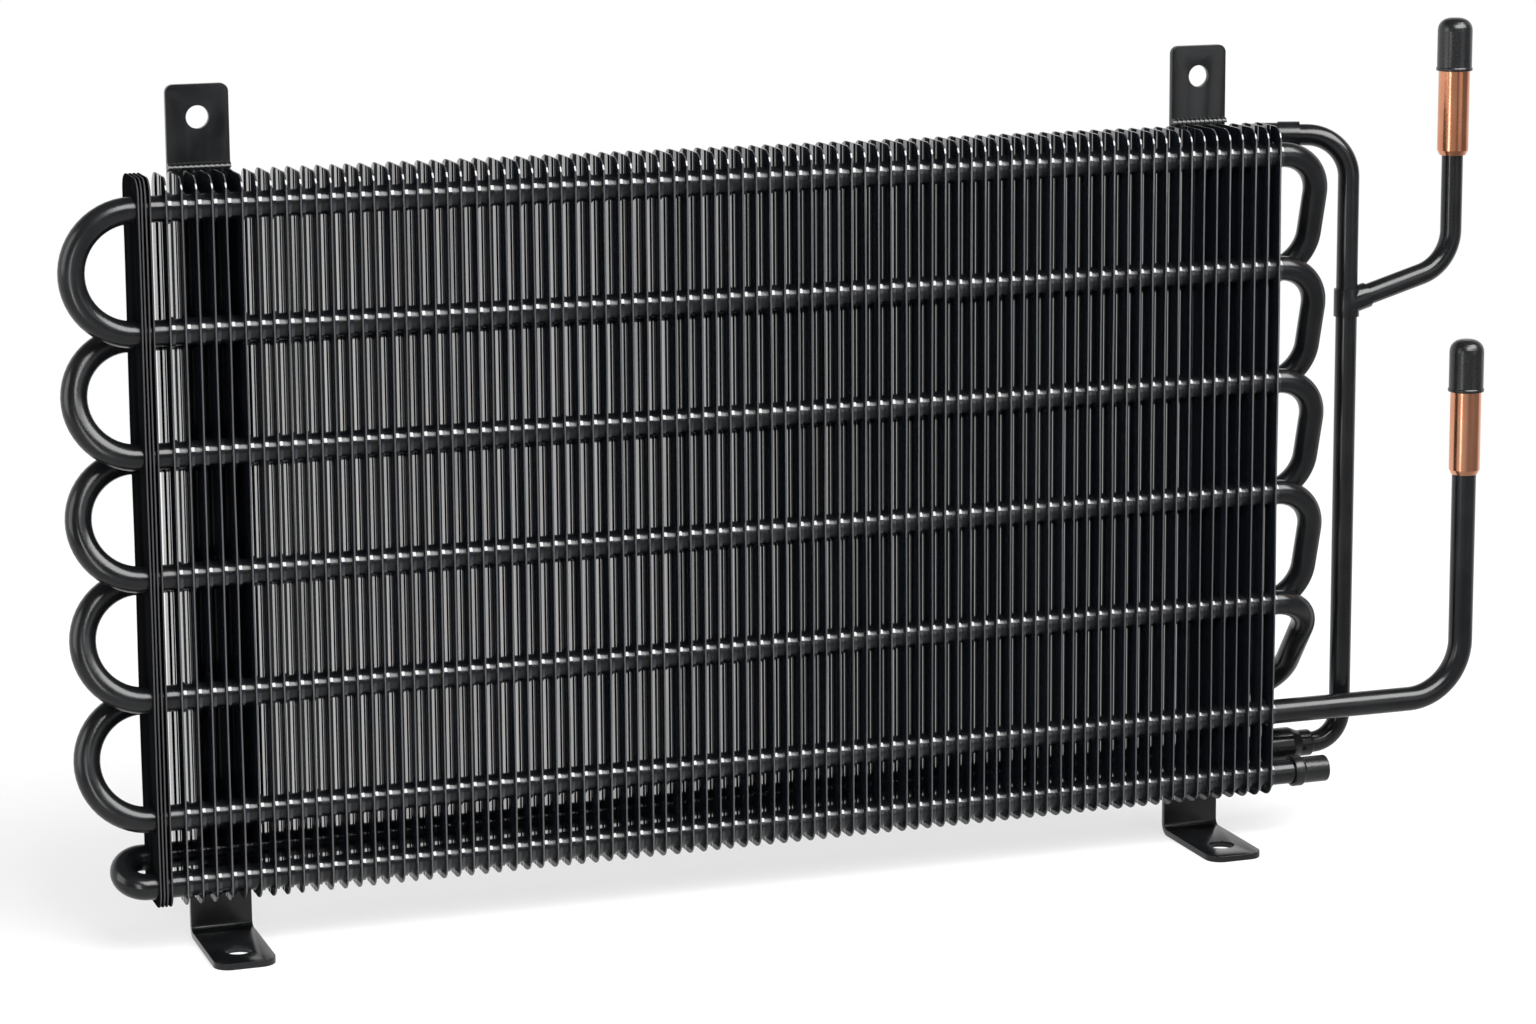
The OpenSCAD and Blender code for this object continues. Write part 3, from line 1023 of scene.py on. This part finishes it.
@dataclass
class TubeCircuit:
    """Hairpins, return bends and the pipes at the right end."""

    shop: Workshop
    hairpins: int = 5
    return_bends: int = 4
    tee_round: float = 0.5 * MM
    coupling_waist: float = 11.0 * MM
    coupling_taper: float = 1.6 * MM
    coupling_small_r: float = 4.4 * MM
    coupling_bore_r: float = 3.55 * MM
    coupling_mouth_r: float = 4.05 * MM
    soft: float = 0.7 * MM

    def build(self) -> None:
        """Dresses the tubes and makes the joint pieces with soft edges."""
        names = [f"hairpin_{n}" for n in range(1, self.hairpins + 1)]
        names += [f"return_bend_{n}" for n in range(1, self.return_bends + 1)]
        names += ["low_hairpin", "feed_pipe", "riser_pipe", "riser_coupling", "tee_piece"]
        names += ["inlet_branch", "outlet_pipe"]
        self.shop.dress(names, Slot.PAINT)
        self._coupling()
        tee = self.shop.softened("tee_piece", self.tee_round)
        self.shop.piece("tee_body", tee, Slot.PAINT, ["tee_piece"])

    def _coupling(self) -> None:
        """Turns the stepped coupling at the riser's foot."""
        low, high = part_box("riser_coupling")
        radius, length = (high[2] - low[2]) / 2, high[0] - low[0]
        foot = (low[0], (low[1] + high[1]) / 2, (low[2] + high[2]) / 2)
        profile = [
            (self.coupling_mouth_r, 0.0),
            (radius, 0.0),
            (radius, self.coupling_waist - self.coupling_taper),
            (self.coupling_small_r, self.coupling_waist + self.coupling_taper),
            (self.coupling_small_r, length),
            (self.coupling_bore_r, length),
            (self.coupling_bore_r, self.coupling_waist),
            (self.coupling_mouth_r, self.coupling_waist - self.coupling_taper),
        ]
        mesh = self.shop.turned(profile, self.soft, foot, Axis.X, closed=True)
        self.shop.piece("coupling_sleeve", mesh, Slot.PAINT, ["riser_coupling"])


@dataclass
class CappedStub:
    """A copper stub and its push-on cap."""

    shop: Workshop
    line: str
    wall: float = 0.6 * MM
    lip: float = 0.25 * MM
    lip_height: float = 0.9 * MM
    dome: float = 4.2 * MM
    dome_steps: int = 6
    dome_fullness: float = 0.7
    hollow: float = 10.2 * MM
    soft: float = 0.45 * MM

    def build(self) -> None:
        """Dresses the stub and makes the cap."""
        self.shop.dress([f"{self.line}_stub"], Slot.COPPER)
        self.shop.dress([f"{self.line}_cap"], Slot.CAP)
        self._cap()

    def _cap(self) -> None:
        """Turns a cap with a soft dome and a rolled lip."""
        low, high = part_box(f"{self.line}_cap")
        radius = (high[0] - low[0]) / 2
        height = high[2] - low[2]
        inner = radius - self.wall
        foot = ((low[0] + high[0]) / 2, (low[1] + high[1]) / 2, low[2])
        profile = [
            (0.0, self.hollow),
            (inner, self.hollow),
            (inner, 0.0),
            (radius + self.lip, 0.0),
            (radius + self.lip, self.lip_height),
            (radius, self.lip_height + self.lip),
            (radius, height - self.dome),
        ]
        for step in range(1, self.dome_steps):
            angle = step / self.dome_steps * math.pi / 2
            reach = radius * math.cos(angle) ** self.dome_fullness
            profile.append((reach, height - self.dome * (1 - math.sin(angle))))
        profile.append((0.0, height))
        mesh = self.shop.turned(profile, self.soft, foot, Axis.Z)
        self.shop.piece(f"{self.line}_cap_shell", mesh, Slot.CAP, [f"{self.line}_cap"])


@dataclass
class SparePlug:
    """The plug on the spare tube end."""

    shop: Workshop
    bore_r: float = 4.05 * MM
    hollow: float = 10.5 * MM
    collar: float = 3.4 * MM
    step: float = 0.35 * MM
    soft: float = 0.7 * MM

    def build(self) -> None:
        """Turns the plug with a stepped collar and a soft end."""
        low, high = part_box("spare_end_plug")
        radius, length = (high[2] - low[2]) / 2, high[0] - low[0]
        foot = (low[0], (low[1] + high[1]) / 2, (low[2] + high[2]) / 2)
        profile = [
            (0.0, self.hollow),
            (self.bore_r, self.hollow),
            (self.bore_r, 0.0),
            (radius + self.step, 0.0),
            (radius + self.step, self.collar),
            (radius - self.step, self.collar + self.step),
            (radius - self.step, length),
            (0.0, length),
        ]
        self.shop.dress(["spare_end_plug"], Slot.CAP)
        mesh = self.shop.turned(profile, self.soft, foot, Axis.X)
        self.shop.piece("plug_shell", mesh, Slot.CAP, ["spare_end_plug"])


@dataclass
class MountingStrap:
    """A folded strap with its weld bead."""

    shop: Workshop
    side: str
    edge_round: float = 0.45 * MM

    def build(self) -> None:
        """Makes the strap with softened edges and dresses its weld."""
        node = f"{self.side}_strap"
        self.shop.dress([node, f"{self.side}_weld_bead"], Slot.PAINT)
        mesh = self.shop.softened(node, self.edge_round)
        self.shop.piece(f"{self.side}_strap_plate", mesh, Slot.PAINT, [node])


@dataclass(frozen=True)
class PhotoCamera:
    """A camera at the photograph's place."""

    place: Point = (-0.4104, -1.1949, 0.3802)
    heading_deg: float = 19.26
    dip_deg: float = 10.03
    roll_deg: float = -0.37
    focal_px: float = 4153.0
    raise_px: float = -100.0
    image_px: float = 1536.0
    sensor_mm: float = 36.0
    nearest_m: float = 0.01
    farthest_m: float = 100.0

    def build(self) -> None:
        """Makes the camera and gives it to the scene."""
        data = bpy.data.cameras.new("photo_camera")
        data.sensor_width = self.sensor_mm
        data.lens = self.focal_px / self.image_px * self.sensor_mm
        data.shift_y = self.raise_px / self.image_px
        data.clip_start, data.clip_end = self.nearest_m, self.farthest_m
        camera = bpy.data.objects.new("photo_camera", data)
        camera.matrix_world = Matrix.Translation(self.place) @ self._turn().to_4x4()
        bpy.context.scene.collection.objects.link(camera)
        bpy.context.scene.camera = camera

    def _turn(self) -> Matrix:
        """Works out how the camera is turned.

        Returns:
            The rotation.
        """
        heading = Matrix.Rotation(-math.radians(self.heading_deg), 3, "Z")
        dip = Matrix.Rotation(math.radians(90.0 - self.dip_deg), 3, "X")
        roll = Matrix.Rotation(math.radians(self.roll_deg), 3, "Z")
        return heading @ dip @ roll


@dataclass(frozen=True)
class SoftBox:
    """One soft studio lamp."""

    name: str
    place: Point
    width: float
    height: float
    watts: float
    aim: Point = (0.0, 0.0, 0.13)

    def build(self) -> None:
        """Hangs the lamp and turns it to its aim."""
        data = bpy.data.lights.new(self.name, "AREA")
        data.shape = "RECTANGLE"
        data.size, data.size_y = self.width, self.height
        data.energy = self.watts
        lamp = bpy.data.objects.new(self.name, data)
        lamp.location = self.place
        lamp.rotation_mode = "QUATERNION"
        lamp.rotation_quaternion = (Vector(self.aim) - Vector(self.place)).to_track_quat("-Z", "Y")
        lamp.visible_camera = False
        bpy.context.scene.collection.objects.link(lamp)


@dataclass
class Studio:
    """Floor, background, lamps and camera."""

    floor_half: float = 30.0
    ambient: float = 0.5
    shade: float = 0.12
    # Spans of a heading's Y and Z over which the room turns white behind and dark above
    behind: Pair = (-0.1, 0.3)
    above: Pair = (0.3, 0.75)
    boxes: tuple[SoftBox, ...] = (
        SoftBox("key_box", (0.45, -0.96, 1.28), width=1.8, height=0.9, watts=60.0),
        SoftBox(
            "strip_box", (-0.36, -0.38, 0.14), width=0.10, height=0.28, watts=0.55, aim=(0.25, 0.0, 0.14)
        ),
        SoftBox("left_box", (-1.5, -0.1, 0.6), width=0.8, height=1.0, watts=7.5),
        SoftBox("right_box", (0.85, -1.35, 0.45), width=0.7, height=0.8, watts=1.5),
    )

    def build(self) -> None:
        """Sets up the whole studio."""
        bpy.context.scene.view_settings.view_transform = "Standard"
        self._floor()
        self._background()
        for box in self.boxes:
            box.build()
        PhotoCamera().build()

    def _floor(self) -> None:
        """Lays the pale floor under the feet."""
        mesh = bmesh.new()
        bmesh.ops.create_grid(mesh, x_segments=1, y_segments=1, size=self.floor_half)
        data = bpy.data.meshes.new("studio_floor")
        mesh.to_mesh(data)
        mesh.free()
        floor = bpy.data.objects.new("studio_floor", data)
        data.materials.append(FloorFinish().material())
        bpy.context.scene.collection.objects.link(floor)

    def _background(self) -> None:
        """Makes a white background, with a shaded room above it in the gloss."""
        world = bpy.data.worlds.new("studio_world")
        bpy.context.scene.world = world
        world.use_nodes = True
        sheet = NodeSheet(world.node_tree)
        room = self._light(sheet, self.ambient)
        gloss = self._light(sheet, self._gloss_grade(sheet))
        white = self._light(sheet, 1.0)
        lit = sheet.blend(sheet.rays(Ray.GLOSSY), room, gloss)
        shown = sheet.blend(sheet.rays(Ray.CAMERA, Ray.TRANSMISSION), lit, white)
        sheet.feed(sheet.add("ShaderNodeOutputWorld"), "Surface", shown)

    def _light(self, sheet: NodeSheet, strength: Source) -> bpy.types.NodeSocket:
        """Adds a white background shader.

        Args:
            sheet: Sheet of the world.
            strength: Strength of the white.

        Returns:
            The shader.
        """
        light = sheet.add("ShaderNodeBackground")
        light.inputs["Color"].default_value = (1.0, 1.0, 1.0, 1.0)
        sheet.feed(light, "Strength", strength)
        return light.outputs[0]

    def _gloss_grade(self, sheet: NodeSheet) -> bpy.types.NodeSocket:
        """Gives white low behind the coil and shade above and in front.

        Args:
            sheet: Sheet of the world.

        Returns:
            The strength of the background that gloss shows.
        """
        heading = sheet.add("ShaderNodeTexCoord")
        parts = sheet.add("ShaderNodeSeparateXYZ")
        sheet.feed(parts, 0, heading.outputs["Generated"])
        behind = sheet.remap(parts.outputs["Y"], self.behind, UNIT, smooth=True)
        below = sheet.remap(parts.outputs["Z"], self.above, (1.0, 0.0), smooth=True)
        return sheet.remap(sheet.combine("MULTIPLY", behind, below), UNIT, (self.shade, 1.0))


def main() -> None:
    """Builds the dressed coil and the studio."""
    logging.basicConfig(level=logging.INFO)
    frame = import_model()
    shop = Workshop(frame["nodes"], Palette())
    FinPack(shop).build()
    TubeCircuit(shop).build()
    for line in ("inlet", "outlet"):
        CappedStub(shop, line).build()
    SparePlug(shop).build()
    for side in ("left", "right"):
        MountingStrap(shop, side).build()
    Studio().build()


if __name__ == "__main__":
    main()
